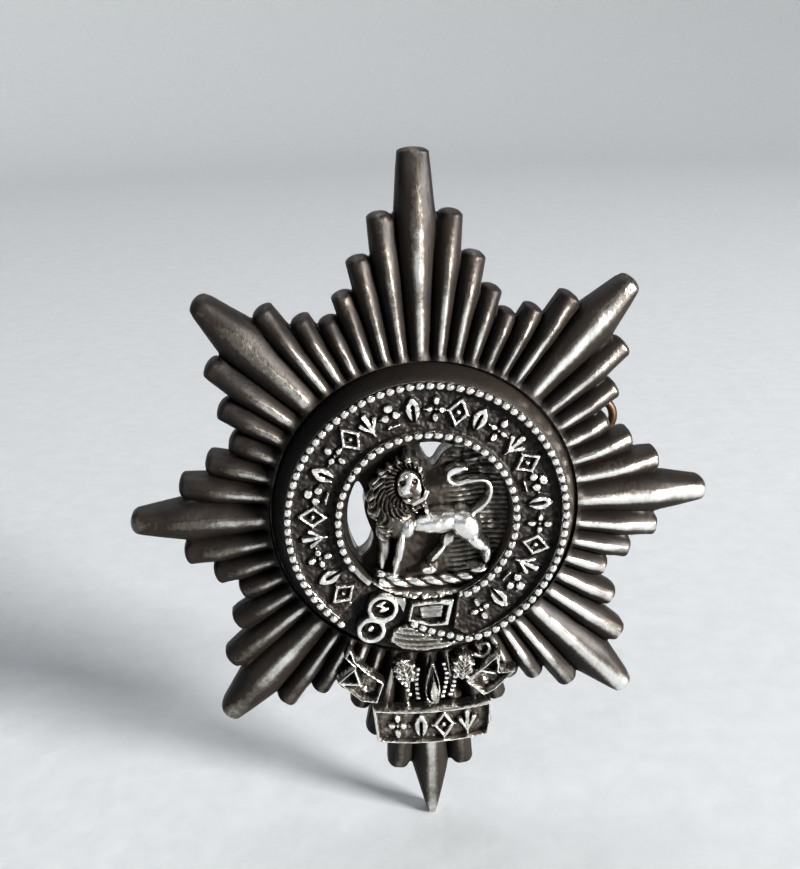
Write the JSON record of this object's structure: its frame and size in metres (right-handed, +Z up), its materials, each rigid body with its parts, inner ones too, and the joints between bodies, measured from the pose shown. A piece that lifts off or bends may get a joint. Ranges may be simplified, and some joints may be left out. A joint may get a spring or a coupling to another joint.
{
  "type": "cap badge",
  "caption": "Silver star cap badge with a round buckled belt, walking lion on a wreath and ribbon scroll, fixed by two rear lugs and a sliding split pin.",
  "frame": {"origin": "on the star's flat back, midway between the two lugs, 1.3 mm above the star's centre", "axes": "+Z up along the top ray, -Y out of the badge's face towards the viewer, +X to the viewer's right, along the split pin towards its eye"},
  "size_m": [0.0208, 0.0086, 0.0252],
  "materials": {
    "antique_silver": "cast white metal or silver plate, bright on worn high spots, dark in the recesses",
    "darkened_silver": "the same metal left dark with tarnish, finely textured",
    "lug_copper": "dull copper wire, brazed",
    "pin_brass": "dark tarnished brass wire"
  },
  "bodies": {
    "badge": {"star_plate": "antique_silver", "belt_ring": "antique_silver", "belt_outer_beading": "antique_silver", "belt_inner_beading": "antique_silver", "field_ground": "darkened_silver", "lion": "antique_silver", "wreath": "antique_silver", "mound": "darkened_silver", "buckle_frame": "antique_silver", "buckle_tongue": "antique_silver", "strap_keeper": "antique_silver", "strap_tip": "antique_silver", "scroll_panel": "antique_silver", "scroll_left_tail": "antique_silver", "scroll_right_tail": "antique_silver", "flame": "antique_silver", "left_leaf": "antique_silver", "right_leaf": "antique_silver", "left_lug": "lug_copper", "right_lug": "lug_copper"},
    "pin": {"split_pin": "pin_brass"}
  },
  "joints": [
    {"name": "pin_slide", "type": "slide", "parent": "badge", "child": "pin", "axis": [1, 0, 0], "range_m": [0, 0.0145]}
  ]
}
